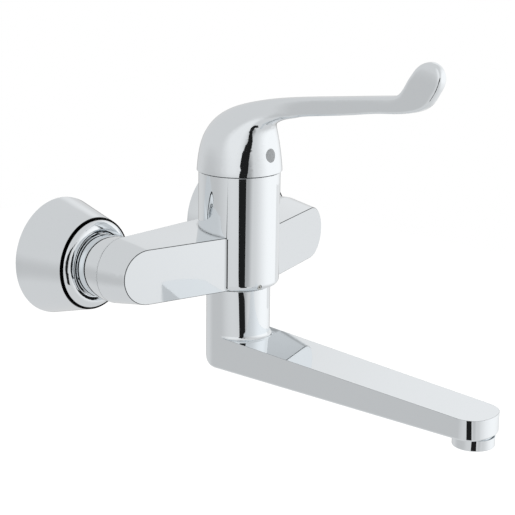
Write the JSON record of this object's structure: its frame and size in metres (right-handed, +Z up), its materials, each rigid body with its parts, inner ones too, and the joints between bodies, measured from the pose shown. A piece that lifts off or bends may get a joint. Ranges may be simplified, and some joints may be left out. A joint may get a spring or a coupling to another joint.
{
  "type": "basin mixer tap",
  "caption": "Wall-mounted single-lever basin mixer with a long upturned elbow lever, two flared wall covers and a flat swivel spout with an aerator under its tip.",
  "frame": {"origin": "on the finished wall's plane, midway between the two inlets and at their height", "axes": "+X along the wall to the user's right, -Y out of the wall towards the user, +Z up"},
  "size_m": [0.222, 0.284, 0.2103],
  "materials": {
    "polished_chrome": "bright polished chrome plate over brass or zinc castings",
    "raw_brass": "plain machined brass",
    "stainless": "machined stainless steel",
    "seal_rubber": "black sealing rubber",
    "fibre_seal": "red fibre-filled flat seal",
    "cartridge_plastic": "grey glass-filled plastic",
    "limiter_plastic": "orange plastic",
    "slide_plastic": "white low-friction plastic",
    "ceramic": "lapped off-white ceramic",
    "plug_plastic": "grey glossy plastic",
    "aerator_plastic": "pale grey plastic"
  },
  "bodies": {
    "fixed": {"mixer_body": "polished_chrome", "inlet_nipple_left": "raw_brass", "inlet_nipple_right": "raw_brass", "union_nut_left": "polished_chrome", "union_nut_right": "polished_chrome", "inlet_seal_left": "fibre_seal", "inlet_seal_right": "fibre_seal", "s_union_left": "raw_brass", "s_union_right": "raw_brass", "escutcheon_left": "polished_chrome", "escutcheon_right": "polished_chrome", "cartridge_base": "cartridge_plastic", "base_seals": "seal_rubber", "disc_seals": "seal_rubber", "fixed_disc": "ceramic", "cartridge_housing": "cartridge_plastic", "cartridge_nut": "raw_brass", "temperature_limiter": "limiter_plastic", "shield_dome": "polished_chrome", "spout_slide_ring": "slide_plastic", "spout_lock_screw": "stainless"},
    "turntable": {"turning_bush": "cartridge_plastic", "pivot_pin": "stainless"},
    "lever_arm": {"stem": "stainless", "lever": "polished_chrome", "lever_screw": "stainless", "indicator_plug": "plug_plastic"},
    "disc_slider": {"moving_disc": "ceramic", "disc_carrier": "cartridge_plastic"},
    "spout_arm": {"spout": "polished_chrome", "spout_o_rings": "seal_rubber", "aerator_housing": "polished_chrome", "aerator_insert": "aerator_plastic", "aerator_washer": "seal_rubber"}
  },
  "joints": [
    {"name": "lever_turn", "type": "hinge", "parent": "fixed", "child": "turntable", "pos_m": [0, -0.081, 0.036], "axis": [0, 0, 1], "range_deg": [-45, 45]},
    {"name": "lever_lift", "type": "hinge", "parent": "turntable", "child": "lever_arm", "pos_m": [0, -0.081, 0.036], "axis": [-1, 0, 0], "range_deg": [0, 22]},
    {"name": "disc_slide", "type": "slide", "parent": "turntable", "child": "disc_slider", "axis": [0, -1, 0], "range_m": [0, 0.0036]},
    {"name": "spout_swivel", "type": "hinge", "parent": "fixed", "child": "spout_arm", "pos_m": [0, -0.081, -0.017], "axis": [0, 0, 1], "range_deg": [-70, 70]}
  ],
  "couplings": [
    {"joint": "disc_slide", "follows": "lever_lift", "m_per_rad": 0.009}
  ]
}
